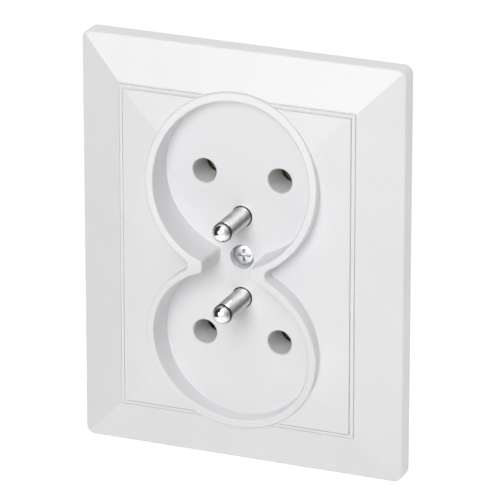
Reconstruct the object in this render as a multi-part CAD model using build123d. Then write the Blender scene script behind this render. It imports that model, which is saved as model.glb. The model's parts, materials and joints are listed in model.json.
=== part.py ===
from build123d import *
import os

# Double flush socket. Sizes in mm.
# Each piece is drawn face up: x to the right, y up the wall, z out of the wall, wall surface at z = 0.
# At the end it is turned so that the front faces -Y and +Z is up.

# Plate of the cover
plate_w = 81.0
plate_h = 102.0
plate_corner_r = 2.2
plate_edge_r = 0.5
rim_z = 4.6
border_w = 11.0
border_rise = 3.3
line_step = 0.36
line_edge_r = 0.12
line_groove_w = 0.3
line_groove_d = 0.3
strip_w = 0.95
field_slope = 0.11
crest_w = 16.0
skin = 2.0
room_corner_r = 1.0

# Figure-of-eight collar and recess
pitch = 40.3
collar_r = 21.45
notch_r = 1.75
recess_r = 19.2
recess_taper = 3.0
waist_w = 11.0
cusp_r = 1.2
floor_z = 4.8
floor_t = 2.0
ridge_z = 15.3
ridge_slope = 0.16
ridge_r = 25.0
lip_r = 0.35

# Plug interface
hole_pitch = 19.0
hole_d = 6.0
hole_edge = 0.25
tube_wall = 1.0
tube_depth = 8.6
tube_foot_gap = 0.3
pin_drop = 10.0
pin_d = 4.8
pin_length = 14.0
pin_neck_d = 4.2
pin_tail_d = 3.5
pin_shoulder = 0.1
pin_gap = 0.2

# Cover screw
screw_d = 3.0
screw_gap = 0.2
head_d = 5.0
head_t = 1.6
head_edge = 0.5
screw_tip = 1.0
cup_d = 5.9
cup_depth = 2.8
boss_d = 9.0
boss_seat_z = 0.2
cross_l = 3.9
cross_w = 0.7
cross_depth = 0.8

# Stiffening ribs
rib_t = 1.2
rib_gap = 0.7
rib_bury = 0.5

# Support plate
support_w = 68.0
support_h = 72.0
support_t = 1.2
support_corner_r = 9.0
box_pitch = 60.0
slot_w = 4.2
slot_l = 5.8
window_gap = 0.3

# Base, with its lid
base_r = 28.5
base_w = 43.0
base_h = 53.0
base_depth = 21.0
side_ledge = 5.5
end_ledge = 1.1
podium_r = 4.0
podium_z = 2.4
guide_t = 1.0
guide_gap = 0.8
fit_gap = 0.2
chamber_w = 9.0
chamber_r = 1.0
strap_depth = 4.0
lid_t = 2.0
lid_pad_l = 9.0
lid_pad_inset = 1.0

# Rivets of the plate and screws of the lid
rivet_d = 3.0
rivet_head_d = 4.8
rivet_head_t = 0.8
rivet_length = 8.0
rivet_inset = 2.5
rivet_y = 15.0
lid_screw_d = 2.5
lid_screw_head_d = 4.6
lid_screw_head_t = 1.3
lid_screw_head_gap = 0.1
lid_screw_length = 8.0
lid_screw_inset = 3.9
lid_screw_y = 8.0
lid_slot = 0.8
lid_slot_depth = 0.7

# Contact strips
strip_t = 1.0
contact_w = 8.4
contact_gap = 0.25
terminal_room = 6.4
sleeve_wall = 0.8
sleeve_bore_d = 4.9
sleeve_slit = 0.7
sleeve_slit_l = 8.0
tab_w = 7.8
tab_margin = 2.8

# Earth strap
strap_w = 7.4
strap_t = 1.5
strap_top = 14.4
strap_foot_l = 9.5
strap_end_gap = 0.9
thread_collar_d = 5.2
thread_collar_l = 2.5
peen_d = 5.8
peen_t = 0.9

# Terminals
terminal_d = 3.5
terminal_head_d = 5.8
terminal_head_t = 2.4
terminal_tail = 2.0
terminal_slot = 0.9
terminal_slot_depth = 1.0
terminal_inset = 4.6
terminal_y = 8.5
earth_terminal_inset = 5.3
clamp_w = 7.0
clamp_t = 1.2
clamp_r = 0.8
clamp_gap = 0.15
pocket_l = 9.0
pocket_room = 2.6

# Spreading claws
claw_t = 1.2
claw_inner = 5.0
claw_base_gap = 0.15
claw_pivot_z = -4.2
claw_eye_r = 1.75
claw_overhang = 1.0
claw_set_in = 0.35
claw_arm = 2.6
claw_neck_l = 6.0
claw_flare = 5.6
claw_flare_l = 5.5
claw_tip_w = 0.6
claw_heel = 1.8
claw_pin_d = 2.0
claw_pin_gap = 0.05
claw_pin_head_d = 3.4
claw_pin_head_t = 0.8
claw_side_gap = 0.2
ear_t = 1.2
ear_w = 3.6
ear_l = 6.4
ear_end_w = 0.4
claw_screw_reach = 3.2
claw_screw_d = 3.0
claw_screw_head_d = 5.4
claw_screw_head_t = 2.0
claw_screw_slot = 0.8
claw_screw_slot_depth = 1.0
claw_screw_l = 11.7
claw_flange_slot = 4.4
claw_slot_shift = 0.1
claw_flange_rim = 0.7
claw_web_start = 7.5
claw_web_end = 2.6

# How far a cut runs past the surface it opens, and how steeply a face that looks up may lean
over = 1.0
upward = 0.5

# Sizes that follow from those above
field_w = plate_w - 2 * border_w
field_h = plate_h - 2 * border_w
border_z = rim_z + border_rise
ledge_z = border_z + line_step
field_z = ledge_z + line_step
inner_w = field_w - 2 * strip_w
inner_h = field_h - 2 * strip_w
field_run = (inner_w - crest_w) / 2
floor_back = floor_z - floor_t
tube_end = floor_z - tube_depth
hole_r = hole_d / 2
tube_r = hole_r + tube_wall
tube_foot = tube_end - tube_foot_gap
guide_end = tube_foot - guide_t
seat_z = floor_z - cup_depth
podium_w = base_w - 2 * side_ledge
podium_h = base_h - 2 * end_ledge
strip_depth = base_depth - terminal_room
strip_back = -strip_depth - strip_t
clamp_back = strip_back - clamp_t
pocket_depth = strip_depth - pocket_room
rivet_x = base_w / 2 - rivet_inset
lid_screw_x = base_w / 2 - lid_screw_inset
terminal_x = base_w / 2 - terminal_inset
tab_end = terminal_x + tab_margin
earth_terminal_y = base_h / 2 - earth_terminal_inset
strap_low = base_h / 2 - strap_end_gap
strap_knee = strap_low - strap_foot_l
claw_pivot_x = base_w / 2 + claw_base_gap + claw_eye_r
claw_tip_x = claw_pivot_x + claw_flare
claw_back = base_depth + claw_overhang
claw_screw_x = claw_pivot_x + claw_screw_reach
claw_outer = claw_inner + 2 * claw_t
holes = [(sx * hole_pitch / 2, sy * pitch / 2) for sx in (-1, 1) for sy in (-1, 1)]
pin_y = pitch / 2 - pin_drop
to_wall = Rotation(90, 0, 0)


def prism(sketch, z0, z1):
    return extrude(Pos(0, 0, z0) * sketch, amount=z1 - z0, dir=(0, 0, 1))


def rod(x, y, r, z0, z1):
    return Pos(x, y, (z0 + z1) / 2) * Cylinder(r, abs(z1 - z0))


def block(x0, x1, y0, y1, z0, z1):
    middle = Pos((x0 + x1) / 2, (y0 + y1) / 2, (z0 + z1) / 2)
    return middle * Box(abs(x1 - x0), abs(y1 - y0), abs(z1 - z0))


def frustum(w0, h0, z0, w1, h1, z1):
    low = Pos(0, 0, z0) * Rectangle(w0, h0)
    high = Pos(0, 0, z1) * Rectangle(w1, h1)
    return loft([low, high], ruled=True)


def side_profile(points, x0, x1):
    wire = [Vector(x0, y, z) for y, z in points]
    face = make_face(Polyline(*wire, close=True))
    return extrude(face, amount=x1 - x0, dir=(1, 0, 0))


def slotted_screw(x, y, shank_d, head_d, z_out, z_seat, z_tip, slot, slot_depth):
    outward = 1 if z_out > z_seat else -1
    head = rod(x, y, head_d / 2, z_out, z_seat)
    z_cut = z_out + outward * over
    head -= block(x - head_d, x + head_d, y - slot / 2, y + slot / 2, z_out - outward * slot_depth, z_cut)
    return head + rod(x, y, shank_d / 2, z_seat, z_tip)


def figure_eight(r):
    pair = Pos(0, pitch / 2) * Circle(r) + Pos(0, -pitch / 2) * Circle(r)
    return fillet(pair.vertices(), notch_r)


def recess_outline():
    pair = Pos(0, pitch / 2) * Circle(recess_r) + Pos(0, -pitch / 2) * Circle(recess_r)
    joined = pair + Rectangle(waist_w, pitch)
    return fillet(joined.vertices(), cusp_r)


def roof():
    half = plate_h
    eave = ridge_z - ridge_slope * half
    points = [Vector(0, -half, -half), Vector(0, half, -half), Vector(0, half, eave)]
    points += [Vector(0, 0, ridge_z), Vector(0, -half, eave)]
    face = make_face(Polyline(*points, close=True))
    apex = face.vertices().sort_by(Axis.Z)[-1]
    face = fillet([apex], ridge_r)
    return extrude(face, amount=plate_w, dir=(1, 0, 0), both=True)


def collar():
    top = ridge_z + over
    full = prism(figure_eight(collar_r), floor_back, top) & roof()
    pocket = extrude(Pos(0, 0, floor_z) * recess_outline(), amount=top - floor_z, taper=-recess_taper)
    ring = full - pocket
    lips = []
    for face in ring.faces():
        if face.normal_at().Z > upward and face.center().Z > floor_z + floor_t:
            lips += face.edges().filter_by(Axis.X, reverse=True)
    return fillet(lips, lip_r), pocket


def line_groove(w, h, z):
    ring = Rectangle(w + 2 * line_groove_w, h + 2 * line_groove_w) - Rectangle(w, h)
    return prism(ring, z - line_groove_d, z + over)


def plate():
    tile = block(-plate_w / 2, plate_w / 2, -plate_h / 2, plate_h / 2, 0, rim_z)
    tile += frustum(plate_w, plate_h, rim_z, field_w, field_h, border_z)
    tile &= prism(RectangleRounded(plate_w, plate_h, plate_corner_r), 0, border_z)
    rim = [e for e in tile.edges() if rim_z - plate_edge_r < e.center().Z < rim_z + border_rise / 4]
    tile = fillet(rim, plate_edge_r)
    strip = prism(Rectangle(field_w, field_h), rim_z, ledge_z)
    strip = fillet(strip.edges().group_by(Axis.Z)[-1], line_edge_r)
    crest_z = field_z + field_slope * field_run
    field = prism(Rectangle(inner_w, inner_h), rim_z, field_z)
    field += frustum(inner_w, inner_h, field_z, crest_w, inner_h - 2 * field_run, crest_z)
    brow = [e for e in field.edges() if abs(e.center().Z - field_z) < line_step / 2]
    field = fillet(brow, line_edge_r)
    tile -= line_groove(field_w, field_h, border_z)
    strip -= line_groove(inner_w, inner_h, ledge_z)
    return tile + strip + field


def hollow():
    wide_w = plate_w - 2 * skin
    wide_h = plate_h - 2 * skin
    room = prism(RectangleRounded(wide_w, wide_h, room_corner_r), 0, rim_z - skin)
    room += frustum(wide_w, wide_h, rim_z - skin, inner_w, inner_h, border_z - skin)
    return room - prism(figure_eight(collar_r), floor_back, border_z)


def ribs():
    z0 = support_t + rib_gap
    z1 = border_z - skin
    out = []
    for sx in (-1, 1):
        for sy in (-1, 1):
            y = sy * pitch / 2
            x0 = sx * (collar_r - rib_bury)
            x1 = sx * (plate_w - skin) / 2
            out.append(block(x0, x1, y - rib_t / 2, y + rib_t / 2, z0, z1))
    for sy in (-1, 1):
        y0 = sy * (pitch / 2 + collar_r - rib_bury)
        y1 = sy * (plate_h - skin) / 2
        out.append(block(-rib_t / 2, rib_t / 2, y0, y1, z0, z1))
    return out


def front_cover():
    ring, pocket = collar()
    whole_plate = plate()
    body = whole_plate - hollow()
    for rib in ribs():
        body += rib & whole_plate
    body -= pocket
    body += ring
    for x, y in holes:
        body += rod(x, y, tube_r, tube_end, floor_back)
    body += rod(0, 0, boss_d / 2, boss_seat_z, floor_back)
    for x, y in holes:
        body -= rod(x, y, hole_r, tube_end - over, floor_z + over)
        body -= Pos(x, y, floor_z - hole_edge / 2) * Cone(hole_r, hole_r + hole_edge, hole_edge)
    for sy in (-1, 1):
        body -= rod(0, sy * pin_y, pin_d / 2 + pin_gap, -over, floor_z + over)
    body -= rod(0, 0, cup_d / 2, seat_z, floor_z + over)
    body -= rod(0, 0, screw_d / 2 + screw_gap, -over, floor_z)
    return body


def cover_screw():
    head = rod(0, 0, head_d / 2, seat_z, seat_z + head_t)
    head = chamfer(head.edges().group_by(Axis.Z)[-1], head_edge)
    top = seat_z + head_t
    head -= block(-cross_l / 2, cross_l / 2, -cross_w / 2, cross_w / 2, top - cross_depth, top + over)
    head -= block(-cross_w / 2, cross_w / 2, -cross_l / 2, cross_l / 2, top - cross_depth, top + over)
    return head + rod(0, 0, screw_d / 2, -strap_depth - strap_t - thread_collar_l - screw_tip, seat_z)


def earth_pin(sign):
    y = sign * pin_y
    foot = -strap_depth
    shoulder = floor_z - pin_shoulder
    dome = floor_z + pin_length - pin_d / 2
    pin = rod(0, y, pin_neck_d / 2, foot, shoulder)
    pin += rod(0, y, pin_d / 2, shoulder, dome)
    pin += Pos(0, y, dome) * Sphere(pin_d / 2)
    pin += rod(0, y, pin_tail_d / 2, foot - strap_t, foot)
    pin += rod(0, y, peen_d / 2, foot - strap_t - peen_t, foot - strap_t)
    return pin


def support_plate():
    sheet = RectangleRounded(support_w, support_h, support_corner_r)
    sheet -= RectangleRounded(podium_w + 2 * window_gap, podium_h + 2 * window_gap, podium_r)
    for sy in (-1, 1):
        sheet -= Pos(0, sy * box_pitch / 2) * SlotOverall(slot_l, slot_w, rotation=90)
    ear_y = claw_outer / 2 + claw_side_gap
    for sx in (-1, 1):
        sheet -= Pos(sx * claw_pivot_x, 0) * Rectangle(ear_w, 2 * ear_y)
        sheet -= Pos(sx * claw_screw_x, 0) * Circle(claw_screw_d / 2 + screw_gap)
        for sy in (-1, 1):
            sheet -= Pos(sx * rivet_x, sy * rivet_y) * Circle(rivet_d / 2)
    body = prism(sheet, 0, support_t)
    for sx in (-1, 1):
        for sy in (-1, 1):
            x0 = sx * claw_pivot_x - ear_w / 2
            ear = block(x0, x0 + ear_w, sy * ear_y, sy * (ear_y + ear_t), -ear_l, support_t)
            corners = ear.edges().filter_by(Axis.Y).group_by(Axis.Z)[0]
            body += fillet(corners, (ear_w - ear_end_w) / 2)
        across = Rotation(90, 0, 0) * Cylinder(claw_pin_d / 2, 4 * ear_y)
        body -= Pos(sx * claw_pivot_x, 0, claw_pivot_z) * across
    return body


def base_outline():
    return Circle(base_r) & Rectangle(base_w, base_h)


def terminal_pockets(z0, z1, inner):
    out = []
    for sx in (-1, 1):
        y = -terminal_y
        out.append(block(sx * inner, sx * base_w, y - pocket_l / 2, y + pocket_l / 2, z0, z1))
    half = strap_w / 2 + contact_gap
    out.append(block(-half, half, -base_h, -strap_knee - contact_gap, z0, z1))
    return out


def base():
    body = prism(base_outline(), -base_depth, 0)
    body += prism(RectangleRounded(podium_w, podium_h, podium_r), 0, podium_z)
    back = -base_depth - over
    for x, y in holes:
        body -= rod(x, y, tube_r + fit_gap, tube_foot, podium_z + over)
        body -= rod(x, y, hole_r + guide_gap, guide_end - over, podium_z)
        body -= prism(Pos(x, y) * RectangleRounded(chamber_w, chamber_w, chamber_r), back, guide_end)
    for sx in (-1, 1):
        x = sx * hole_pitch / 2
        body -= block(x - chamber_w / 2, x + chamber_w / 2, -pitch / 2, pitch / 2, back, -strip_depth)
    half = strap_w / 2 + contact_gap
    body -= block(-half, half, -strap_knee - contact_gap, strap_top + contact_gap, back, -strap_depth)
    pockets = terminal_pockets(back, -pocket_depth, hole_pitch / 2)
    for pocket in pockets:
        body -= pocket
    for sy in (-1, 1):
        body -= rod(0, sy * pin_y, pin_neck_d / 2 + fit_gap, back, podium_z + over)
    body -= rod(0, 0, boss_d / 2 + fit_gap, boss_seat_z, podium_z + over)
    body -= rod(0, 0, screw_d / 2 + screw_gap, back, podium_z)
    for sx in (-1, 1):
        for sy in (-1, 1):
            body -= rod(sx * rivet_x, sy * rivet_y, rivet_d / 2, -rivet_length, over)
        tip = -base_depth - lid_t + lid_screw_length
        body -= rod(sx * lid_screw_x, lid_screw_y, lid_screw_d / 2, back, tip)
    return body


def base_cap():
    low = -base_depth - lid_t
    body = prism(base_outline(), low, -base_depth)
    inner = hole_pitch / 2 + contact_w / 2 + contact_gap
    for pocket in terminal_pockets(low - over, -base_depth + over, inner):
        body -= pocket
    for sx in (-1, 1):
        x = sx * hole_pitch / 2
        half = contact_w / 2 - lid_pad_inset
        body += block(x - half, x + half, 0, lid_pad_l, -base_depth, strip_back)
        head_r = lid_screw_head_d / 2 + lid_screw_head_gap
        body -= rod(sx * lid_screw_x, lid_screw_y, lid_screw_d / 2, low - over, -base_depth + over)
        body -= rod(sx * lid_screw_x, lid_screw_y, head_r, low - over, low + lid_screw_head_t)
    return body


def plate_rivets():
    out = []
    for sx in (-1, 1):
        for sy in (-1, 1):
            rivet = rod(sx * rivet_x, sy * rivet_y, rivet_head_d / 2, support_t, support_t + rivet_head_t)
            out.append(rivet + rod(sx * rivet_x, sy * rivet_y, rivet_d / 2, -rivet_length, support_t))
    return out


def cap_screws():
    out = []
    low = -base_depth - lid_t
    seat = low + lid_screw_head_t
    tip = low + lid_screw_length
    for sx in (-1, 1):
        out.append(slotted_screw(sx * lid_screw_x, lid_screw_y, lid_screw_d, lid_screw_head_d,
                                 low, seat, tip, lid_slot, lid_slot_depth))
    return out


def side_contact(sign):
    x = sign * hole_pitch / 2
    y_end = pitch / 2 + contact_w / 2
    sheet = Pos(x, 0) * Rectangle(contact_w, 2 * y_end)
    tab_l = tab_end - hole_pitch / 2
    sheet += Pos(x + sign * tab_l / 2, -terminal_y) * Rectangle(tab_l, tab_w)
    sheet -= Pos(sign * terminal_x, -terminal_y) * Circle(terminal_d / 2)
    body = prism(sheet, strip_back, -strip_depth)
    mouth = guide_end - contact_gap
    sleeve_r = sleeve_bore_d / 2 + sleeve_wall
    for sy in (-1, 1):
        y = sy * pitch / 2
        sleeve = rod(x, y, sleeve_r, -strip_depth, mouth)
        for w, h in ((sleeve_slit, contact_w), (contact_w, sleeve_slit)):
            sleeve -= prism(Pos(x, y) * Rectangle(w, h), mouth - sleeve_slit_l, mouth + over)
        body += sleeve
        body -= rod(x, y, sleeve_bore_d / 2, strip_back - over, mouth + over)
    return body


def earth_strap():
    top = -strap_depth
    low = strip_back + strap_t
    points = [(strap_top, top), (-strap_knee, top), (-strap_knee, low), (-strap_low, low)]
    points += [(-strap_low, strip_back), (-strap_knee + strap_t, strip_back)]
    points += [(-strap_knee + strap_t, top - strap_t), (strap_top, top - strap_t)]
    body = side_profile(points, -strap_w / 2, strap_w / 2)
    body += rod(0, 0, thread_collar_d / 2, top - strap_t - thread_collar_l, top - strap_t)
    body -= rod(0, 0, screw_d / 2, top - strap_t - thread_collar_l - over, top + over)
    for sy in (-1, 1):
        body -= rod(0, sy * pin_y, pin_tail_d / 2, top - strap_t - over, top + over)
    body -= rod(0, -earth_terminal_y, terminal_d / 2, strip_back - over, low + over)
    return body


def terminals():
    places = [(-terminal_x, -terminal_y), (terminal_x, -terminal_y), (0, -earth_terminal_y)]
    clamps, screws = [], []
    for x, y in places:
        clamp = prism(Pos(x, y) * RectangleRounded(clamp_w, clamp_w, clamp_r), clamp_back, strip_back)
        clamps.append(clamp - rod(x, y, terminal_d / 2 + clamp_gap, clamp_back - over, strip_back + over))
        out = clamp_back - terminal_head_t
        screws.append(slotted_screw(x, y, terminal_d, terminal_head_d, out, clamp_back,
                                    terminal_tail - strip_depth, terminal_slot, terminal_slot_depth))
    return clamps, screws


def claw(sign):
    px = claw_pivot_x
    pz = claw_pivot_z
    inner_x = px - claw_eye_r + claw_set_in
    neck_z = pz - claw_neck_l
    points = [(px - claw_eye_r, pz), (px + claw_eye_r, pz), (inner_x + claw_arm, neck_z)]
    points += [(inner_x + claw_arm, claw_flare_l - claw_back), (claw_tip_x, claw_tip_w - claw_back)]
    points += [(claw_tip_x - claw_tip_w, -claw_back), (inner_x, claw_heel - claw_back), (inner_x, neck_z)]
    slot_x = claw_screw_x + claw_slot_shift
    reach = slot_x + claw_flange_slot / 2 + claw_flange_rim
    z0 = pz - claw_t / 2
    z1 = pz + claw_t / 2
    fold = [(px, z0), (reach, z0), (reach, z1), (px, z1)]
    body = None
    for sy in (-1, 1):
        y0 = sy * (claw_inner + claw_t) / 2
        cheek = side_cheek(points, y0)
        cheek += Pos(px, y0, pz) * (Rotation(90, 0, 0) * Cylinder(claw_eye_r, claw_t))
        cheek += side_cheek(fold, y0)
        body = cheek if body is None else body + cheek
    half = claw_inner / 2
    body += block(inner_x, inner_x + claw_t, -half, half, claw_web_end - claw_back, pz - claw_web_start)
    body += block(px, reach, -half, half, z0, z1)
    slot = Pos(slot_x, 0) * SlotOverall(claw_flange_slot, claw_screw_d + 2 * screw_gap)
    body -= prism(slot, z0 - over, z1 + over)
    body -= Pos(px, 0, pz) * (Rotation(90, 0, 0) * Cylinder(claw_pin_d / 2 + claw_pin_gap, 2 * claw_outer))
    return body if sign > 0 else mirror(body, about=Plane.YZ)


def side_cheek(points, y0):
    wire = [Vector(x, y0 - claw_t / 2, z) for x, z in points]
    face = make_face(Polyline(*wire, close=True))
    return extrude(face, amount=claw_t, dir=(0, 1, 0))


def claw_pin(sign):
    half = claw_outer / 2 + claw_side_gap + ear_t
    shank = Cylinder(claw_pin_d / 2, 2 * half)
    for sz in (-1, 1):
        shank += Pos(0, 0, sz * (half + claw_pin_head_t / 2)) * Cylinder(claw_pin_head_d / 2, claw_pin_head_t)
    return Pos(sign * claw_pivot_x, 0, claw_pivot_z) * (Rotation(90, 0, 0) * shank)


def claw_screw(sign):
    top = support_t + claw_screw_head_t
    tip = support_t - claw_screw_l
    return slotted_screw(sign * claw_screw_x, 0, claw_screw_d, claw_screw_head_d, top, support_t, tip,
                         claw_screw_slot, claw_screw_slot_depth)


def write(name, shape):
    pieces = shape if isinstance(shape, list) else [shape]
    solids = [s for piece in pieces for s in (to_wall * piece).solids()]
    whole = solids[0] if len(solids) == 1 else Compound(children=solids)
    whole.label = name
    export_step(whole, os.path.join("parts", name + ".step"))


os.makedirs("parts", exist_ok=True)
clamp_plates, clamp_screws = terminals()
write("front_cover", front_cover())
write("cover_screw", cover_screw())
write("upper_earth_pin", earth_pin(1))
write("lower_earth_pin", earth_pin(-1))
write("support_plate", support_plate())
write("base", base())
write("base_cap", base_cap())
write("plate_rivets", plate_rivets())
write("cap_screws", cap_screws())
write("line_contact", side_contact(-1))
write("neutral_contact", side_contact(1))
write("earth_strap", earth_strap())
write("line_clamp", clamp_plates[0])
write("neutral_clamp", clamp_plates[1])
write("earth_clamp", clamp_plates[2])
write("terminal_screws", clamp_screws)
write("left_claw", claw(-1))
write("right_claw", claw(1))
write("left_claw_pin", claw_pin(-1))
write("right_claw_pin", claw_pin(1))
write("left_claw_screw", claw_screw(-1))
write("right_claw_screw", claw_screw(1))
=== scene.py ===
import bmesh
import bpy
import json
import math
from mathutils import Matrix, Vector


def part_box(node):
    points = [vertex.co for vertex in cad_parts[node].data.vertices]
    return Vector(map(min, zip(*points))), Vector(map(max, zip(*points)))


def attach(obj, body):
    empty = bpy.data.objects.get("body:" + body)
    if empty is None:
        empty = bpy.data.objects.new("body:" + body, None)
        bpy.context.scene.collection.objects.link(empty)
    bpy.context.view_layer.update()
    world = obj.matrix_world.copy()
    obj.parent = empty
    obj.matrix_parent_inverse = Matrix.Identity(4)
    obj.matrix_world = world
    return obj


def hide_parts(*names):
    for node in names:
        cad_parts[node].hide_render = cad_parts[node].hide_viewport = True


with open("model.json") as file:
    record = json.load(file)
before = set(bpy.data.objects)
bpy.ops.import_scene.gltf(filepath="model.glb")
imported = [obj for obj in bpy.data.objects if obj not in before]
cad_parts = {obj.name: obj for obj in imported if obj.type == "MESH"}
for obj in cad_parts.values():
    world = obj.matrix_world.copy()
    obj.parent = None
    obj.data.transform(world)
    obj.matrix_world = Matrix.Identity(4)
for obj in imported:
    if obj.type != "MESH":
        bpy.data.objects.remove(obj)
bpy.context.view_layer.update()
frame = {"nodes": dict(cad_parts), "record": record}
nodes = frame["nodes"]
mm = 0.001
mergeMm = 0.002           # points nearer than this are one point
sliverMm = 0.004          # faces thinner than this are closed up
crispDegrees = 32         # edges that turn by more than this look sharp
noiseSpan = (0.3, 0.7)    # most values of a noise lie between these
print("frame loaded:", len(nodes), "nodes")


def linearColor(hexCode):
    channels = [int(hexCode[i:i + 2], 16) / 255 for i in (0, 2, 4)]
    linear = [c / 12.92 if c <= 0.04045 else ((c + 0.055) / 1.055) ** 2.4 for c in channels]
    return (*linear, 1.0)


# Adds a node. Capital names and numbers are its inputs, set to a value or linked to an output, and other
# names its own settings. A colour Mix has its share at 0, its colours at 6 and 7 and its result at 2.
def addNode(tree, kind, values=None):
    node = tree.nodes.new(kind)
    for key, value in (values or {}).items():
        if isinstance(key, str) and key[0].islower():
            setattr(node, key, value)
        elif isinstance(value, bpy.types.NodeSocket):
            tree.links.new(value, node.inputs[key])
        else:
            node.inputs[key].default_value = value
    return node


def perMetre(sizeMm):
    return 1.0 / (sizeMm * mm)


def newMaterial(name):
    material = bpy.data.materials.new(name)
    material.use_nodes = True
    material.node_tree.nodes.clear()
    return material, material.node_tree


# Injection-moulded pearl-white ABS from a finely spark-eroded tool: pale and even, with a silky sheen and a
# pearl grain that shows as a faint sparkle. The real grain is too fine to show, so it is drawn coarser.
absSettings = dict(color="EAEAEB", shade="DADADD", flowMm=14.0, grainMm=0.30, grainDepthMm=0.006, bump=0.5,
                   roughness=(0.34, 0.46), ior=1.53)


def mouldedAbs(s=absSettings):
    material, tree = newMaterial("satinMouldedAbs")
    place = addNode(tree, "ShaderNodeTexCoord").outputs["Object"]
    flow = addNode(tree, "ShaderNodeTexNoise", {
        "Vector": place, "Scale": perMetre(s["flowMm"]), "Detail": 2.0})
    grain = addNode(tree, "ShaderNodeTexNoise", {
        "Vector": place, "Scale": perMetre(s["grainMm"]), "Detail": 3.0})
    share = addNode(tree, "ShaderNodeMath", {
        "operation": "MULTIPLY", 0: flow.outputs["Fac"], 1: grain.outputs["Fac"]})
    color = addNode(tree, "ShaderNodeMix", {
        "data_type": "RGBA", 0: share.outputs[0], 6: linearColor(s["color"]), 7: linearColor(s["shade"])})
    rough = addNode(tree, "ShaderNodeMapRange", {
        "Value": grain.outputs["Fac"], "From Min": noiseSpan[0], "From Max": noiseSpan[1],
        "To Min": s["roughness"][0], "To Max": s["roughness"][1]})
    bump = addNode(tree, "ShaderNodeBump", {
        "Height": grain.outputs["Fac"], "Strength": s["bump"], "Distance": s["grainDepthMm"] * mm})
    shader = addNode(tree, "ShaderNodeBsdfPrincipled", {
        "Base Color": color.outputs[2], "Roughness": rough.outputs[0], "Normal": bump.outputs[0],
        "IOR": s["ior"]})
    addNode(tree, "ShaderNodeOutputMaterial", {"Surface": shader.outputs[0]})
    return material


# Glass-filled polyamide: a dull grey moulding with pale fibre flecks, drawn coarse enough to show.
polyamideSettings = dict(color="B4B4AF", fleck="CCCCC7", fleckMm=0.5, fleckScale=(1.0, 0.35, 1.0),
                         fleckRange=(0.45, 0.8), grainMm=0.35, grainDepthMm=0.01, bump=0.4, roughness=0.62,
                         ior=1.53)


def filledPolyamide(s=polyamideSettings):
    material, tree = newMaterial("glassFilledPolyamide")
    place = addNode(tree, "ShaderNodeTexCoord").outputs["Object"]
    laid = addNode(tree, "ShaderNodeMapping", {"Vector": place, "Scale": s["fleckScale"]})
    fleck = addNode(tree, "ShaderNodeTexNoise", {
        "Vector": laid.outputs[0], "Scale": perMetre(s["fleckMm"]), "Detail": 4.0})
    grain = addNode(tree, "ShaderNodeTexNoise", {
        "Vector": place, "Scale": perMetre(s["grainMm"]), "Detail": 3.0})
    share = addNode(tree, "ShaderNodeMapRange", {
        "Value": fleck.outputs["Fac"], "From Min": s["fleckRange"][0], "From Max": s["fleckRange"][1]})
    color = addNode(tree, "ShaderNodeMix", {
        "data_type": "RGBA", 0: share.outputs[0], 6: linearColor(s["color"]), 7: linearColor(s["fleck"])})
    bump = addNode(tree, "ShaderNodeBump", {
        "Height": grain.outputs["Fac"], "Strength": s["bump"], "Distance": s["grainDepthMm"] * mm})
    shader = addNode(tree, "ShaderNodeBsdfPrincipled", {
        "Base Color": color.outputs[2], "Normal": bump.outputs[0], "Roughness": s["roughness"],
        "IOR": s["ior"]})
    addNode(tree, "ShaderNodeOutputMaterial", {"Surface": shader.outputs[0]})
    return material


# Brass and zinc share one recipe: a skin whose tone drifts in clouds, with fine lines left by the tool.
# Brass pressed from strip is a satin pale gold where it is bright and brown where it has tarnished.
brassSettings = dict(name="stampedBrass", color="DFC496", tarnish="9A7C56", cloudMm=2.5,
                     cloudRange=(0.4, 0.75), lineMm=0.15, lineScale=(1.0, 1.0, 0.04), lineDepthMm=0.004,
                     bump=0.3, roughness=(0.32, 0.48))
# Zinc on steel is a cool satin silver with a faint cloudy bloom.
zincSettings = dict(name="zincPlatedSteel", color="DCDEE0", tarnish="CACDD0", cloudMm=6.0,
                    cloudRange=(0.35, 0.75), lineMm=0.2, lineScale=(1.0, 1.0, 0.05), lineDepthMm=0.0012,
                    bump=0.3, roughness=(0.28, 0.38))


def cloudedMetal(s):
    material, tree = newMaterial(s["name"])
    place = addNode(tree, "ShaderNodeTexCoord").outputs["Object"]
    tooled = addNode(tree, "ShaderNodeMapping", {"Vector": place, "Scale": s["lineScale"]})
    cloud = addNode(tree, "ShaderNodeTexNoise", {
        "Vector": place, "Scale": perMetre(s["cloudMm"]), "Detail": 4.0})
    lines = addNode(tree, "ShaderNodeTexNoise", {
        "Vector": tooled.outputs[0], "Scale": perMetre(s["lineMm"]), "Detail": 3.0})
    share = addNode(tree, "ShaderNodeMapRange", {
        "Value": cloud.outputs["Fac"], "From Min": s["cloudRange"][0], "From Max": s["cloudRange"][1]})
    color = addNode(tree, "ShaderNodeMix", {
        "data_type": "RGBA", 0: share.outputs[0], 6: linearColor(s["color"]), 7: linearColor(s["tarnish"])})
    rough = addNode(tree, "ShaderNodeMapRange", {
        "Value": lines.outputs["Fac"], "From Min": noiseSpan[0], "From Max": noiseSpan[1],
        "To Min": s["roughness"][0], "To Max": s["roughness"][1]})
    bump = addNode(tree, "ShaderNodeBump", {
        "Height": lines.outputs["Fac"], "Strength": s["bump"], "Distance": s["lineDepthMm"] * mm})
    shader = addNode(tree, "ShaderNodeBsdfPrincipled", {
        "Base Color": color.outputs[2], "Roughness": rough.outputs[0], "Normal": bump.outputs[0],
        "Metallic": 1.0})
    addNode(tree, "ShaderNodeOutputMaterial", {"Surface": shader.outputs[0]})
    return material


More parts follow.
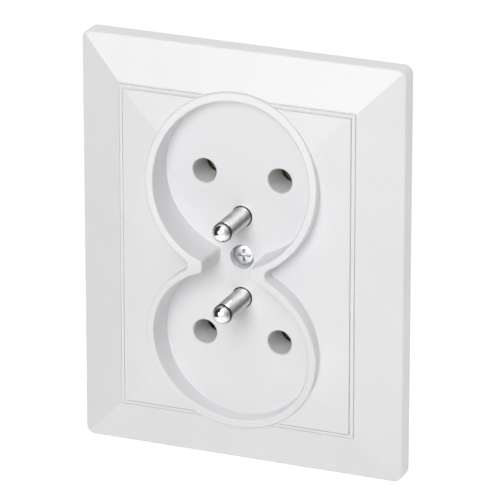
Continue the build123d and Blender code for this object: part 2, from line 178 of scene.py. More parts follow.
# Nickel on drawn brass rod: its bright and dark streaks along the pin are painted reflections, and the lathe
# leaves fine rings across it. The middle of the ball end carries a painted highlight, and a painted dark
# outline lies where the ball meets the rod. The piece's own "around" attribute gives the place round the rod
# and along it, in rod radii. The painted streaks are tones at shares of a turn.
nickelSettings = dict(
    paintedReflectionTones=[(0.00, "A8A7A5"), (0.38, "B4B3B1"), (0.46, "C6C5C3"), (0.535, "5A5958"), (0.585, "A5A4A2"),
             (0.66, "FBFAF8"), (0.72, "E9E8E6"), (0.80, "8C8B89"), (0.875, "3A3938"), (0.94, "8C8B89"),
             (1.00, "A8A7A5")],
    # the ball tone is a painted highlight, and the rim tone is a painted dark outline
    wobble=0.10, wobbleRadii=2.2, ball="DEDDDB", ballRange=(0.45, 0.92), rim="3C3B3A", rimRange=(0.90, 0.98),
    rimDepth=1.05, ringMm=0.14, ringScale=(0.02, 1.0, 0.02), ringDepthMm=0.004, bump=0.3,
    roughness=(0.10, 0.22))


def paintedReflectionNickel(s=nickelSettings):
    material, tree = newMaterial("nickelPaintedReflections")
    around = addNode(tree, "ShaderNodeAttribute", {"attribute_name": "around"}).outputs["Vector"]
    place = addNode(tree, "ShaderNodeTexCoord").outputs["Object"]
    # painted reflections: streaks by the angle round the rod, which wander a little along it
    drift = addNode(tree, "ShaderNodeTexNoise", {
        "Vector": around, "Scale": 1.0 / s["wobbleRadii"], "Detail": 3.0})
    shift = addNode(tree, "ShaderNodeMapRange", {
        "Value": drift.outputs["Fac"], "To Min": -s["wobble"], "To Max": s["wobble"]})
    turn = addNode(tree, "ShaderNodeTexGradient", {"gradient_type": "RADIAL", "Vector": around})
    moved = addNode(tree, "ShaderNodeMath", {
        "operation": "ADD", 0: turn.outputs["Fac"], 1: shift.outputs[0]})
    paintedStreak = addNode(tree, "ShaderNodeValToRGB", {"Fac": moved.outputs[0]})
    stops = paintedStreak.color_ramp.elements
    stops[0].color = linearColor(s["paintedReflectionTones"][0][1])
    stops[-1].color = linearColor(s["paintedReflectionTones"][-1][1])
    for share, tone in s["paintedReflectionTones"][1:-1]:
        stops.new(share).color = linearColor(tone)
    # ball end with a painted highlight in its middle, and a painted dark outline at its foot
    parts = addNode(tree, "ShaderNodeSeparateXYZ", {0: around})
    flat = addNode(tree, "ShaderNodeCombineXYZ", {"X": parts.outputs["X"], "Y": parts.outputs["Y"]})
    reach = addNode(tree, "ShaderNodeVectorMath", {"operation": "LENGTH", 0: flat.outputs[0]})
    reach = reach.outputs["Value"]
    outward = addNode(tree, "ShaderNodeMapRange", {
        "interpolation_type": "SMOOTHSTEP", "Value": reach,
        "From Min": s["ballRange"][0], "From Max": s["ballRange"][1]})
    color = addNode(tree, "ShaderNodeMix", {
        "data_type": "RGBA", 0: outward.outputs[0], 6: linearColor(s["ball"]), 7: paintedStreak.outputs["Color"]})
    edge = addNode(tree, "ShaderNodeMapRange", {
        "Value": reach, "From Min": s["rimRange"][0], "From Max": s["rimRange"][1]})
    onBall = addNode(tree, "ShaderNodeMath", {
        "operation": "GREATER_THAN", 0: parts.outputs["Z"], 1: -s["rimDepth"]})
    rim = addNode(tree, "ShaderNodeMath", {"operation": "MULTIPLY", 0: edge.outputs[0], 1: onBall.outputs[0]})
    color = addNode(tree, "ShaderNodeMix", {
        "data_type": "RGBA", 0: rim.outputs[0], 6: color.outputs[2], 7: linearColor(s["rim"])})
    # rings across the rod
    turned = addNode(tree, "ShaderNodeMapping", {"Vector": place, "Scale": s["ringScale"]})
    lines = addNode(tree, "ShaderNodeTexNoise", {
        "Vector": turned.outputs[0], "Scale": perMetre(s["ringMm"]), "Detail": 3.0})
    rough = addNode(tree, "ShaderNodeMapRange", {
        "Value": lines.outputs["Fac"], "From Min": noiseSpan[0], "From Max": noiseSpan[1],
        "To Min": s["roughness"][0], "To Max": s["roughness"][1]})
    bump = addNode(tree, "ShaderNodeBump", {
        "Height": lines.outputs["Fac"], "Strength": s["bump"], "Distance": s["ringDepthMm"] * mm})
    shader = addNode(tree, "ShaderNodeBsdfPrincipled", {
        "Base Color": color.outputs[2], "Roughness": rough.outputs[0], "Normal": bump.outputs[0],
        "Metallic": 1.0})
    addNode(tree, "ShaderNodeOutputMaterial", {"Surface": shader.outputs[0]})
    return material


finishes = {"cover_plastic": mouldedAbs(), "base_plastic": filledPolyamide(), "nickel_brass": paintedReflectionNickel(),
            "contact_brass": cloudedMetal(brassSettings), "zinc_steel": cloudedMetal(zincSettings)}
slotOf = {part["node"]: part["material_slot"] for part in frame["record"]["subparts"]}
for name, node in nodes.items():
    node.data.materials.clear()
    node.data.materials.append(finishes[slotOf[name]])
print("finishes set on", len(nodes), "nodes")


# Boxes of the separate solids in a node, as (lowest, highest) corners.
def solidBoxes(nodeName):
    shape = bmesh.new()
    shape.from_mesh(nodes[nodeName].data)
    bmesh.ops.remove_doubles(shape, verts=shape.verts, dist=mergeMm * mm)
    left = set(shape.verts)
    boxes = []
    while left:
        island, front = set(), [left.pop()]
        while front:
            vert = front.pop()
            island.add(vert)
            for edge in vert.link_edges:
                other = edge.other_vert(vert)
                if other in left:
                    left.remove(other)
                    front.append(other)
        corners = list(zip(*(v.co for v in island)))
        boxes.append((Vector(min(c) for c in corners), Vector(max(c) for c in corners)))
    shape.free()
    return sorted(boxes, key=lambda box: tuple(box[0]))


def plainMesh(name, shape):
    mesh = bpy.data.meshes.new(name)
    shape.to_mesh(mesh)
    shape.free()
    return mesh


# A scratch object for modifiers, and below it the plain mesh that they make.
def holdMesh(name, mesh):
    holder = bpy.data.objects.new(name + "Holder", mesh)
    bpy.context.scene.collection.objects.link(holder)
    return holder


def bakeMesh(name, holder):
    graph = bpy.context.evaluated_depsgraph_get()
    mesh = bpy.data.meshes.new_from_object(holder.evaluated_get(graph))
    holder.modifiers.clear()
    bpy.data.objects.remove(holder)
    mesh.name = name
    return mesh


def keepCrisp(mesh):
    mesh.shade_smooth()
    mesh.set_sharp_from_angle(angle=math.radians(crispDegrees))


# Closes up the slivers that cutting leaves, turns the faces outwards and keeps sharp edges crisp.
def finishMesh(mesh):
    shape = bmesh.new()
    shape.from_mesh(mesh)
    bmesh.ops.dissolve_degenerate(shape, dist=sliverMm * mm, edges=shape.edges)
    bmesh.ops.recalc_face_normals(shape, faces=shape.faces)
    shape.to_mesh(mesh)
    shape.free()
    keepCrisp(mesh)


# Seats a finished mesh, which already carries the finish of its slot, on its body in place of the node it
# stands for.
def seatPiece(name, mesh, body, replaced=None):
    piece = bpy.data.objects.new(name, mesh)
    bpy.context.scene.collection.objects.link(piece)
    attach(piece, body)
    if replaced:
        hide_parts(replaced)


# Slotted screws: a head with an eased rim over a rolled thread. Pitches and slots are the usual ones for
# their sizes. Tip and cap are shares of the threaded length.
screwShape = dict(around=40, rowsPerPitch=8, rimSteps=4, tipFrom=0.93, tipTo=0.99, tipWidth=0.72, cap=0.001)
clawScrew = dict(headAtBack=False, headMm=2.0, shankMm=3.0, edgeMm=0.4, pitchMm=0.5, threadMm=0.28,
                 slotMm=0.8, slotDeepMm=1.0)
screwSettings = {
    "terminalScrews": dict(node="terminal_screws", headAtBack=True, headMm=2.4, shankMm=3.5, edgeMm=0.35,
                           pitchMm=0.6, threadMm=0.33, slotMm=0.9, slotDeepMm=1.0),
    "lidScrews": dict(node="cap_screws", headAtBack=True, headMm=1.3, shankMm=2.5, edgeMm=0.3, pitchMm=0.7,
                      threadMm=0.3, slotMm=0.8, slotDeepMm=0.7),
    "leftClawScrew": dict(clawScrew, node="left_claw_screw"),
    "rightClawScrew": dict(clawScrew, node="right_claw_screw")}


# A screw stands on each of the places, with the top of its head at z = 0 before it is turned.
def screwTree(s=screwShape):
    tree = bpy.data.node_groups.new("slottedScrew", "GeometryNodeTree")
    sizes = ("Head Radius", "Head Height", "Head Edge", "Shank Radius", "Length", "Pitch", "Thread Depth",
             "Slot Width", "Slot Depth", "Turn")
    counts = ("Around", "Columns", "Rows")
    sockets = {"Geometry": ("Places",), "Float": sizes, "Int": counts, "Material": ("Metal",)}
    for kind, names in sockets.items():
        for name in names:
            tree.interface.new_socket(name, in_out="INPUT", socket_type="NodeSocket" + kind)
    tree.interface.new_socket("Screws", in_out="OUTPUT", socket_type="NodeSocketGeometry")
    value = {socket.name: socket for socket in addNode(tree, "NodeGroupInput").outputs}

    # sums for the head, then for the shank, which is a sheet rolled into a tube that follows the thread
    sheet = addNode(tree, "GeometryNodeMeshGrid", {
        "Size X": 1.0, "Size Y": 1.0, "Vertices X": value["Columns"], "Vertices Y": value["Rows"]})
    sheetPlace = addNode(tree, "ShaderNodeSeparateXYZ", {0: sheet.outputs["UV Map"]})
    value["round"], value["down"] = sheetPlace.outputs["X"], sheetPlace.outputs["Y"]
    value["tip"] = addNode(tree, "ShaderNodeMapRange", {
        "Value": value["down"], "From Min": s["tipFrom"], "From Max": s["tipTo"],
        "To Min": 1.0, "To Max": s["tipWidth"]}).outputs[0]
    sums = (("sweep", "MULTIPLY", "Head Radius", 0.5),
            ("headMiddle", "MULTIPLY", "Head Height", -0.5),
            ("slotLength", "MULTIPLY", "Head Radius", 4.0),
            ("slotHeight", "MULTIPLY", "Slot Depth", 2.0),
            ("run", "SUBTRACT", "Length", "Head Height"),
            ("depth", "MULTIPLY", "run", "down"),
            ("coils", "DIVIDE", "depth", "Pitch"),
            ("turns", "ADD", "coils", "round"),
            ("flank", "PINGPONG", "turns", 0.5),
            ("groove", "MULTIPLY", "flank", 2.0),
            ("cut", "MULTIPLY", "groove", "Thread Depth"),
            ("threaded", "SUBTRACT", "Shank Radius", "cut"),
            ("tapered", "MULTIPLY", "threaded", "tip"),
            ("belowHead", "GREATER_THAN", "down", s["cap"]),
            ("aboveEnd", "LESS_THAN", "down", 1 - s["cap"]),
            ("between", "MULTIPLY", "belowHead", "aboveEnd"),
            ("radius", "MULTIPLY", "tapered", "between"),
            ("angle", "MULTIPLY", "round", 2 * math.pi),
            ("cosine", "COSINE", "angle", 0.0),
            ("sine", "SINE", "angle", 0.0),
            ("x", "MULTIPLY", "radius", "cosine"),
            ("y", "MULTIPLY", "radius", "sine"),
            ("fall", "MULTIPLY", "depth", -1.0),
            ("z", "SUBTRACT", "fall", "Head Height"))
    for name, operation, first, second in sums:
        value[name] = addNode(tree, "ShaderNodeMath", {
            "operation": operation, 0: value.get(first, first), 1: value.get(second, second)}).outputs[0]

    # head: an eased rectangle swept round the axis, then slotted
    ring = addNode(tree, "GeometryNodeCurvePrimitiveCircle", {
        "Resolution": value["Around"], "Radius": value["sweep"]})
    section = addNode(tree, "GeometryNodeCurvePrimitiveQuadrilateral", {
        "Width": value["Head Radius"], "Height": value["Head Height"]})
    eased = addNode(tree, "GeometryNodeFilletCurve", {
        "mode": "POLY", "Curve": section.outputs[0], "Radius": value["Head Edge"], "Count": s["rimSteps"],
        "Limit Radius": True})
    swept = addNode(tree, "GeometryNodeCurveToMesh", {
        "Curve": ring.outputs[0], "Profile Curve": eased.outputs[0]})
    merged = addNode(tree, "GeometryNodeMergeByDistance", {
        "Geometry": swept.outputs[0], "Distance": mergeMm * mm})
    lower = addNode(tree, "ShaderNodeCombineXYZ", {"Z": value["headMiddle"]})
    plain = addNode(tree, "GeometryNodeTransform", {
        "Geometry": merged.outputs[0], "Translation": lower.outputs[0]})
    slotSize = addNode(tree, "ShaderNodeCombineXYZ", {
        "X": value["slotLength"], "Y": value["Slot Width"], "Z": value["slotHeight"]})
    cutter = addNode(tree, "GeometryNodeMeshCube", {"Size": slotSize.outputs[0]})
    head = addNode(tree, "GeometryNodeMeshBoolean", {
        "operation": "DIFFERENCE", "solver": "EXACT",
        "Mesh 1": plain.outputs[0], "Mesh 2": cutter.outputs[0]})

    point = addNode(tree, "ShaderNodeCombineXYZ", {"X": value["x"], "Y": value["y"], "Z": value["z"]})
    rolled = addNode(tree, "GeometryNodeSetPosition", {
        "Geometry": sheet.outputs[0], "Position": point.outputs[0]})
    shank = addNode(tree, "GeometryNodeMergeByDistance", {
        "Geometry": rolled.outputs[0], "Distance": mergeMm * mm})

    screw = addNode(tree, "GeometryNodeJoinGeometry", {0: head.outputs[0]})
    tree.links.new(shank.outputs[0], screw.inputs[0])
    turn = addNode(tree, "ShaderNodeCombineXYZ", {"X": value["Turn"]})
    points = addNode(tree, "GeometryNodeMeshToPoints", {"Mesh": value["Places"]})
    placed = addNode(tree, "GeometryNodeInstanceOnPoints", {
        "Points": points.outputs[0], "Instance": screw.outputs[0], "Rotation": turn.outputs[0]})
    real = addNode(tree, "GeometryNodeRealizeInstances", {"Geometry": placed.outputs[0]})
    dressed = addNode(tree, "GeometryNodeSetMaterial", {
        "Geometry": real.outputs[0], "Material": value["Metal"]})
    addNode(tree, "NodeGroupOutput", {0: dressed.outputs[0]})
    return tree


# Runs a tree on a set of points and returns the plain mesh it makes.
def grownMesh(name, tree, places, values):
    seed = bpy.data.meshes.new(name + "Places")
    seed.from_pydata(places, [], [])
    holder = holdMesh(name, seed)
    modifier = holder.modifiers.new("grow", "NODES")
    modifier.node_group = tree
    for item in tree.interface.items_tree:
        if item.in_out == "INPUT" and item.name in values:
            modifier[item.identifier] = values[item.name]
    mesh = bakeMesh(name, holder)
    finishMesh(mesh)
    return mesh


def buildScrews():
    tree = screwTree()
    for name, s in screwSettings.items():
        boxes = solidBoxes(s["node"])
        low, high = boxes[0]
        length, headWidth = high.y - low.y, high.x - low.x
        topY = high.y if s["headAtBack"] else low.y
        places = [((a.x + b.x) / 2, topY, (a.z + b.z) / 2) for a, b in boxes]
        rows = int((length / mm - s["headMm"]) / s["pitchMm"] * screwShape["rowsPerPitch"])
        slot = slotOf[s["node"]]
        mesh = grownMesh(name, tree, places, {
            "Head Radius": headWidth / 2, "Head Height": s["headMm"] * mm, "Head Edge": s["edgeMm"] * mm,
            "Shank Radius": s["shankMm"] / 2 * mm, "Length": length, "Pitch": s["pitchMm"] * mm,
            "Thread Depth": s["threadMm"] * mm, "Slot Width": s["slotMm"] * mm,
            "Slot Depth": s["slotDeepMm"] * mm, "Turn": math.radians(-90 if s["headAtBack"] else 90),
            "Around": screwShape["around"], "Columns": screwShape["around"] + 1, "Rows": rows,
            "Metal": finishes[slot]})
        seatPiece(name, mesh, "socket", s["node"])
        print("screws:", name, len(places), "with", len(mesh.polygons), "faces")


buildScrews()


# Cover screw: a low domed head with a cross of four tapering wings, on a shank with thread grooves.
coverScrewSettings = dict(headMm=1.6, shankMm=3.0, edgeMm=0.5, edgeFromDegrees=80, edgeSteps=5, domeMm=0.25,
                          domeSteps=8, pitchMm=0.5, threadMm=0.28, neckMm=0.2, tailMm=0.6, tipMm=0.1,
                          tipWidths=(0.8, 0.6), around=64, wingMm=3.7, wingEndMm=2.0, wingWideMm=0.85,
                          wingNarrowMm=0.5, wingTopMm=0.3, wingDeepMm=1.05, easeMm=0.06, easeDegrees=40)


# Turns a profile of (radius, height) pairs round the z axis.
def latheShape(profile, around):
    shape = bmesh.new()
    rings = []
    for radius, height in profile:
        if radius == 0.0:
            rings.append([shape.verts.new((0, 0, height))])
            continue
        turn = [2 * math.pi * i / around for i in range(around)]
        rings.append([shape.verts.new((radius * math.cos(t), radius * math.sin(t), height)) for t in turn])
    for near, far in zip(rings, rings[1:]):
        for i in range(around):
            quad = [near[i % len(near)], near[(i + 1) % len(near)]]
            quad += [far[(i + 1) % len(far)], far[i % len(far)]]
            shape.faces.new(list(dict.fromkeys(quad)))    # a ring of one point leaves a triangle
    bmesh.ops.recalc_face_normals(shape, faces=shape.faces)
    return shape


def arcPoints(radiusCentre, heightCentre, radius, fromDegrees, toDegrees, steps):
    turns = [math.radians(fromDegrees + (toDegrees - fromDegrees) * i / steps) for i in range(steps + 1)]
    return [(radiusCentre + radius * math.cos(t), heightCentre + radius * math.sin(t)) for t in turns]


def coverScrewProfile(s, length, headRadius):
    shankRadius, edge, dome = s["shankMm"] / 2 * mm, s["edgeMm"] * mm, s["domeMm"] * mm
    flat = headRadius - edge
    sphere = (flat ** 2 + dome ** 2) / (2 * dome)    # radius of the low dome over the flat
    profile = [(0.0, 0.0)]
    for i in range(1, s["domeSteps"] + 1):
        radius = flat * i / s["domeSteps"]
        profile.append((radius, math.sqrt(sphere ** 2 - radius ** 2) - sphere))
    profile += arcPoints(flat, -dome - edge, edge, s["edgeFromDegrees"], 0, s["edgeSteps"])
    profile += [(headRadius, -s["headMm"] * mm), (shankRadius, -s["headMm"] * mm)]
    for i in range(int((length / mm - s["headMm"] - s["tailMm"]) / s["pitchMm"])):
        start = -(s["headMm"] + s["neckMm"] + i * s["pitchMm"]) * mm
        profile += [(shankRadius, start), (shankRadius - s["threadMm"] * mm, start - s["pitchMm"] / 2 * mm)]
    wide, narrow = s["tipWidths"]
    profile += [(shankRadius * wide, -length + s["tipMm"] * mm), (shankRadius * narrow, -length)]
    return profile + [(0.0, -length)]


def crossCutter(s):
    shape = bmesh.new()
    ends = ((s["wingMm"], s["wingWideMm"], s["wingTopMm"]),
            (s["wingEndMm"], s["wingNarrowMm"], -s["wingDeepMm"]))
    for turn in (0, 90):
        spin = Matrix.Rotation(math.radians(turn), 3, "Z")
        corners = []
        for long, wide, height in ends:
            for sideX, sideY in ((-1, -1), (1, -1), (1, 1), (-1, 1)):
                corner = Vector((sideX * long / 2, sideY * wide / 2, height))
                corners.append(shape.verts.new(spin @ corner * mm))
        for face in ((0, 1, 2, 3), (7, 6, 5, 4), (0, 4, 5, 1), (1, 5, 6, 2), (2, 6, 7, 3), (3, 7, 4, 0)):
            shape.faces.new([corners[i] for i in face])
    bmesh.ops.recalc_face_normals(shape, faces=shape.faces)
    return holdMesh("crossCutter", plainMesh("crossCutter", shape))


def buildCoverScrew(s=coverScrewSettings):
    low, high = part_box("cover_screw")
    profile = coverScrewProfile(s, high.y - low.y, (high.x - low.x) / 2)
    holder = holdMesh("coverScrew", plainMesh("coverScrewTurned", latheShape(profile, s["around"])))
    cutter = crossCutter(s)
    cut = holder.modifiers.new("wings", "BOOLEAN")
    cut.object, cut.operation, cut.solver, cut.use_self = cutter, "DIFFERENCE", "EXACT", True
    ease = holder.modifiers.new("ease", "BEVEL")
    ease.width, ease.segments, ease.limit_method = s["easeMm"] * mm, 2, "ANGLE"
    ease.angle_limit = math.radians(s["easeDegrees"])
    mesh = bakeMesh("coverScrew", holder)
    bpy.data.objects.remove(cutter)
    place = Matrix.Translation(((low.x + high.x) / 2, low.y, (low.z + high.z) / 2))
    mesh.transform(place @ Matrix.Rotation(math.radians(90), 4, "X"))
    slot = slotOf["cover_screw"]
    mesh.materials.clear()
    mesh.materials.append(finishes[slot])
    finishMesh(mesh)
    seatPiece("coverScrew", mesh, "socket", "cover_screw")
    print("cover screw:", len(mesh.polygons), "faces")


buildCoverScrew()


# Earth pins: turned rod with a ball end, and a hairline groove where the ball meets the rod.
pinSettings = dict(around=96, ballSteps=20, frontMm=4.0, grooveMm=0.20, grooveDeepMm=0.10,
                   grooveFloor=(0.35, 0.65), ringMergeMm=0.01, decimals=6,
                   pieces={"upperEarthPin": "upper_earth_pin", "lowerEarthPin": "lower_earth_pin"})


# Rings of a turned solid from its tip back, as (radius, depth) pairs.
def turnedOutline(nodeName, axis, decimals):
    rings = {}
    for vert in nodes[nodeName].data.vertices:
        radius = math.hypot(vert.co.x - axis.x, vert.co.z - axis.z)
        rings.setdefault(round(vert.co.y, decimals), set()).add(round(radius, decimals))
    outline = [(0.0, min(rings))]
    for depth in sorted(rings):
        last = outline[-1][0]
        outline += [(radius, depth) for radius in sorted(rings[depth], key=lambda r: abs(r - last))]
    return outline


def buildPins(s=pinSettings):
    groove, deep = s["grooveMm"] * mm, s["grooveDeepMm"] * mm
    for name, nodeName in s["pieces"].items():
        low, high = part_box(nodeName)
        axis = (low + high) / 2
        outline = turnedOutline(nodeName, axis, s["decimals"])
        tip = outline[0][1]
        rodRadius = max(radius for radius, depth in outline if depth < tip + s["frontMm"] * mm)
        profile = arcPoints(0.0, -rodRadius, rodRadius, 90, 0, s["ballSteps"])
        profile[0] = (0.0, 0.0)
        profile += [(rodRadius - deep, -rodRadius - groove * share) for share in s["grooveFloor"]]
        profile.append((rodRadius, -rodRadius - groove))
        profile += [(radius, tip - depth) for radius, depth in outline if depth > tip + rodRadius + groove]
        profile.append((0.0, profile[-1][1]))
        shape = latheShape(profile, s["around"])
        bmesh.ops.remove_doubles(shape, verts=shape.verts, dist=s["ringMergeMm"] * mm)
        bmesh.ops.recalc_face_normals(shape, faces=shape.faces)
        mesh = plainMesh(name, shape)
        around = mesh.attributes.new("around", "FLOAT_VECTOR", "POINT")
        for vert, entry in zip(mesh.vertices, around.data):
            entry.vector = (vert.co.x / rodRadius, vert.co.y / rodRadius, vert.co.z / rodRadius)
        place = Matrix.Translation((axis.x, tip, axis.z))
        mesh.transform(place @ Matrix.Rotation(math.radians(90), 4, "X"))
        slot = slotOf[nodeName]
        mesh.materials.append(finishes[slot])
        keepCrisp(mesh)
        seatPiece(name, mesh, "socket", nodeName)
        print("pin:", name, len(mesh.polygons), "faces")


buildPins()


# Pressed and moulded pieces with their edges eased as the press or the mould leaves them.
easeSettings = dict(flatDegrees=1, easeDegrees=35, pieces={
    "contactBase": dict(node="base", body="socket", easeMm=0.35),
    "baseLid": dict(node="base_cap", body="socket", easeMm=0.30),
    "supportPlate": dict(node="support_plate", body="socket", easeMm=0.18),
    "leftClaw": dict(node="left_claw", body="left_claw", easeMm=0.15),
    "rightClaw": dict(node="right_claw", body="right_claw", easeMm=0.15),
    "lineClamp": dict(node="line_clamp", body="socket", easeMm=0.12),
    "neutralClamp": dict(node="neutral_clamp", body="socket", easeMm=0.12),
    "earthClamp": dict(node="earth_clamp", body="socket", easeMm=0.12)})


def buildEased(s=easeSettings):
    for name, part in s["pieces"].items():
        shape = bmesh.new()
        shape.from_mesh(nodes[part["node"]].data)
        bmesh.ops.remove_doubles(shape, verts=shape.verts, dist=mergeMm * mm)
        flat = math.radians(s["flatDegrees"])
        bmesh.ops.dissolve_limit(shape, angle_limit=flat, verts=shape.verts, edges=shape.edges)
        plain = plainMesh(name + "Plain", shape)
        plain.shade_smooth()
        holder = holdMesh(name, plain)
        ease = holder.modifiers.new("ease", "BEVEL")
        ease.width, ease.segments, ease.limit_method = part["easeMm"] * mm, 2, "ANGLE"
        ease.angle_limit, ease.use_clamp_overlap = math.radians(s["easeDegrees"]), True
        level = holder.modifiers.new("level", "WEIGHTED_NORMAL")    # flats stay flat to the eased edge
        level.keep_sharp = True
        mesh = bakeMesh(name, holder)
        slot = slotOf[part["node"]]
        mesh.materials.clear()
        mesh.materials.append(finishes[slot])
        seatPiece(name, mesh, part["body"], part["node"])
        print("eased:", name, len(mesh.polygons), "faces")


buildEased()


# Raised terminal marks on the lid: line, neutral and earth, as moulded beside each clamp. Outlines are read
# from behind, in millimetres from each mark's centre.
markSettings = dict(
    slot="base_plastic", raiseMm=0.45, sunkMm=0.10, easeMm=0.08, besideMm=5.7, aboveMm=8.1,
    outlines={
        "line_clamp": [
            [(-1.4, 2.1), (-1.4, -2.1), (1.4, -2.1), (1.4, -1.3), (-0.6, -1.3), (-0.6, 2.1)]],
        "neutral_clamp": [
            [(-1.6, 2.1), (-1.6, -2.1), (-0.8, -2.1), (-0.8, 0.7), (0.8, -2.1), (1.6, -2.1), (1.6, 2.1),
             (0.8, 2.1), (0.8, -0.7), (-0.8, 2.1)]],
        "earth_clamp": [
            [(-0.35, 2.2), (-0.35, 0.6), (-2.0, 0.6), (-2.0, -0.1), (2.0, -0.1), (2.0, 0.6), (0.35, 0.6),
             (0.35, 2.2)],
            [(-1.3, -0.6), (-1.3, -1.3), (1.3, -1.3), (1.3, -0.6)],
            [(-0.6, -1.8), (-0.6, -2.5), (0.6, -2.5), (0.6, -1.8)]]})


def buildMarks(s=markSettings):
    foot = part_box("base_cap")[1].y - s["sunkMm"] * mm
    rise = (s["sunkMm"] + s["raiseMm"]) * mm
    shape = bmesh.new()
    for clamp, outlines in s["outlines"].items():
        low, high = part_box(clamp)
        middle = (low + high) / 2
        beside = 0 if abs(middle.x) < mm else -math.copysign(s["besideMm"], middle.x) * mm
        above = s["aboveMm"] * mm if beside == 0 else 0    # the middle clamp has its mark above it
        for outline in outlines:
            points = [(middle.x + beside - x * mm, foot, middle.z + above + z * mm) for x, z in outline]
            face = shape.faces.new([shape.verts.new(point) for point in points])
            grown = bmesh.ops.extrude_face_region(shape, geom=[face], use_keep_orig=True)["geom"]
            raised = [part for part in grown if isinstance(part, bmesh.types.BMVert)]
            bmesh.ops.translate(shape, verts=raised, vec=(0, rise, 0))
    bmesh.ops.recalc_face_normals(shape, faces=shape.faces)
    ease = s["easeMm"] * mm
    bmesh.ops.bevel(shape, geom=list(shape.edges), offset=ease, segments=2, profile=0.5, affect="EDGES")
    mesh = plainMesh("terminalMarks", shape)
    mesh.materials.append(finishes[s["slot"]])
    keepCrisp(mesh)
    seatPiece("terminalMarks", mesh, "socket")
    print("terminal marks:", len(mesh.polygons), "faces")


buildMarks()


# Studio: a pale floor well below the socket, a soft box in front, one above it and one behind for the edges,
# and a white surround whose light comes from behind. Only reflections see the cards: the dark flag gives
# bright metal its dark accents, and the pale card gives the satin plastic its sheen.
studioSettings = dict(
    floorZ=-0.30, floorSize=6.0, floorColor="F2F2F2", floorGlow=0.60,
    ambientFront=0.02, ambientBack=0.93, ambientBlend=0.2,
    boxes=[dict(name="keyBox", at=(0.051, -0.723, 0.338), size=0.5, watts=4.0),
           dict(name="topBox", at=(0.047, -0.445, 0.663), size=0.5, watts=1.2),
           dict(name="edgeBox", at=(0.74, 0.24, -0.10), size=0.5, watts=0.8)],
    cards=[dict(name="darkFlag", at=(-0.5, -0.6, 1.16), aim=(1, 0, 0), size=(1.2, 2.88), color="202020",
                glow=0.0),
           dict(name="sheenCard", at=(-0.211, -0.649, 0.157), aim=(0.211, 0.649, -0.157), size=(0.34, 0.24),
                color="FFFFFF", glow=4.8)])
white = (1.0, 1.0, 1.0, 1.0)


# The surround is plain white to the camera, in reflections and through glass, and else only a fill light.
def buildSurround(s=studioSettings):
    world = bpy.data.worlds.new("whiteSurround")
    bpy.context.scene.world = world
    world.use_nodes = True
    tree = world.node_tree
    tree.nodes.clear()
    path = addNode(tree, "ShaderNodeLightPath").outputs
    seen = addNode(tree, "ShaderNodeMath", {
        "operation": "MAXIMUM", 0: path["Is Camera Ray"], 1: path["Is Glossy Ray"]})
    seen = addNode(tree, "ShaderNodeMath", {
        "operation": "MAXIMUM", 0: seen.outputs[0], 1: path["Is Transmission Ray"]})
    toward = addNode(tree, "ShaderNodeTexCoord").outputs["Generated"]
    toward = addNode(tree, "ShaderNodeSeparateXYZ", {0: toward})
    fill = addNode(tree, "ShaderNodeMapRange", {
        "Value": toward.outputs["Y"], "From Min": -s["ambientBlend"], "From Max": s["ambientBlend"],
        "To Min": s["ambientFront"], "To Max": s["ambientBack"]})
    level = addNode(tree, "ShaderNodeMapRange", {
        "Value": seen.outputs[0], "To Min": fill.outputs[0], "To Max": 1.0})
    glow = addNode(tree, "ShaderNodeBackground", {"Color": white, "Strength": level.outputs[0]})
    addNode(tree, "ShaderNodeOutputWorld", {"Surface": glow.outputs[0]})


def stagePlane(name, size, place, material):
    wide, tall = size[0] / 2, size[1] / 2
    mesh = bpy.data.meshes.new(name)
    corners = [(-wide, -tall, 0), (wide, -tall, 0), (wide, tall, 0), (-wide, tall, 0)]
    mesh.from_pydata(corners, [], [(0, 1, 2, 3)])
    mesh.transform(place)
    mesh.materials.append(material)
    plane = bpy.data.objects.new(name, mesh)
    bpy.context.scene.collection.objects.link(plane)
    return plane


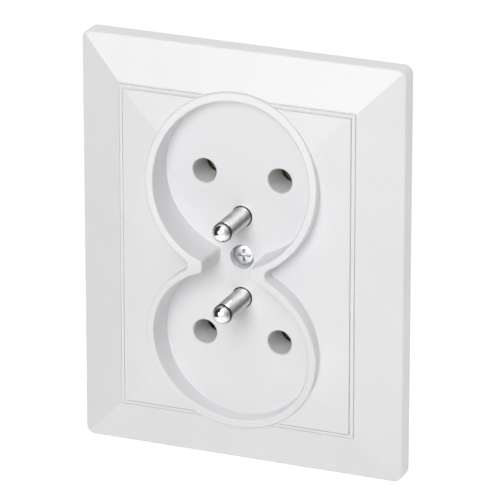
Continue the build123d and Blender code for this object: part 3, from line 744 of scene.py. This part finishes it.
# Matt white paint with a glow that only the camera and reflections see. From below, the floor is clear.
def buildFloor(s=studioSettings):
    material, tree = newMaterial("paleStudioFloor")
    matt = addNode(tree, "ShaderNodeBsdfDiffuse", {"Color": linearColor(s["floorColor"])})
    path = addNode(tree, "ShaderNodeLightPath").outputs
    seen = addNode(tree, "ShaderNodeMath", {
        "operation": "MAXIMUM", 0: path["Is Camera Ray"], 1: path["Is Glossy Ray"]})
    lift = addNode(tree, "ShaderNodeMath", {"operation": "MULTIPLY", 0: seen.outputs[0], 1: s["floorGlow"]})
    glow = addNode(tree, "ShaderNodeEmission", {"Strength": lift.outputs[0]})
    both = addNode(tree, "ShaderNodeAddShader", {0: matt.outputs[0], 1: glow.outputs[0]})
    clear = addNode(tree, "ShaderNodeBsdfTransparent")
    under = addNode(tree, "ShaderNodeNewGeometry").outputs["Backfacing"]
    pick = addNode(tree, "ShaderNodeMixShader", {0: under, 1: both.outputs[0], 2: clear.outputs[0]})
    addNode(tree, "ShaderNodeOutputMaterial", {"Surface": pick.outputs[0]})
    place = Matrix.Translation((0, 0, s["floorZ"]))
    stagePlane("studioFloor", (s["floorSize"], s["floorSize"]), place, material)


def buildCards(s=studioSettings):
    for card in s["cards"]:
        material, tree = newMaterial(card["name"])
        shader = addNode(tree, "ShaderNodeBsdfPrincipled", {
            "Base Color": linearColor(card["color"]), "Roughness": 1.0, "Emission Color": white,
            "Emission Strength": card["glow"]})
        addNode(tree, "ShaderNodeOutputMaterial", {"Surface": shader.outputs[0]})
        facing = Vector(card["aim"]).to_track_quat("Z", "Y").to_matrix().to_4x4()
        plane = stagePlane(card["name"], card["size"], Matrix.Translation(card["at"]) @ facing, material)
        plane.visible_camera = plane.visible_diffuse = False
        plane.visible_shadow = plane.visible_transmission = False


def buildLamps(s=studioSettings):
    for box in s["boxes"]:
        light = bpy.data.lights.new(box["name"], "AREA")
        light.shape = "DISK"
        light.size = box["size"]
        light.energy = box["watts"]
        lamp = bpy.data.objects.new(box["name"], light)
        lamp.location = box["at"]
        lamp.rotation_mode = "QUATERNION"
        lamp.rotation_quaternion = (-Vector(box["at"])).to_track_quat("-Z", "Y")
        bpy.context.scene.collection.objects.link(lamp)


buildSurround()
buildFloor()
buildCards()
buildLamps()
print("studio ready")


# Camera to the upper right of the plate, far off so that upright edges stay parallel.
cameraSettings = dict(turnDegrees=22.5, riseDegrees=20.5, distance=1.2, lens=369.5,
                      targetMm=(2.12, -5.0, 2.12))


def buildCamera(s=cameraSettings):
    turn, rise = math.radians(s["turnDegrees"]), math.radians(s["riseDegrees"])
    back = Vector((math.sin(turn) * math.cos(rise), -math.cos(turn) * math.cos(rise), math.sin(rise)))
    data = bpy.data.cameras.new("viewCamera")
    data.lens = s["lens"]
    camera = bpy.data.objects.new("viewCamera", data)
    camera.location = Vector(s["targetMm"]) * mm + back * s["distance"]
    camera.rotation_mode = "QUATERNION"
    camera.rotation_quaternion = (-back).to_track_quat("-Z", "Y")
    bpy.context.scene.collection.objects.link(camera)
    bpy.context.scene.camera = camera


buildCamera()
bpy.context.scene.view_settings.view_transform = "Standard"
print("camera ready")
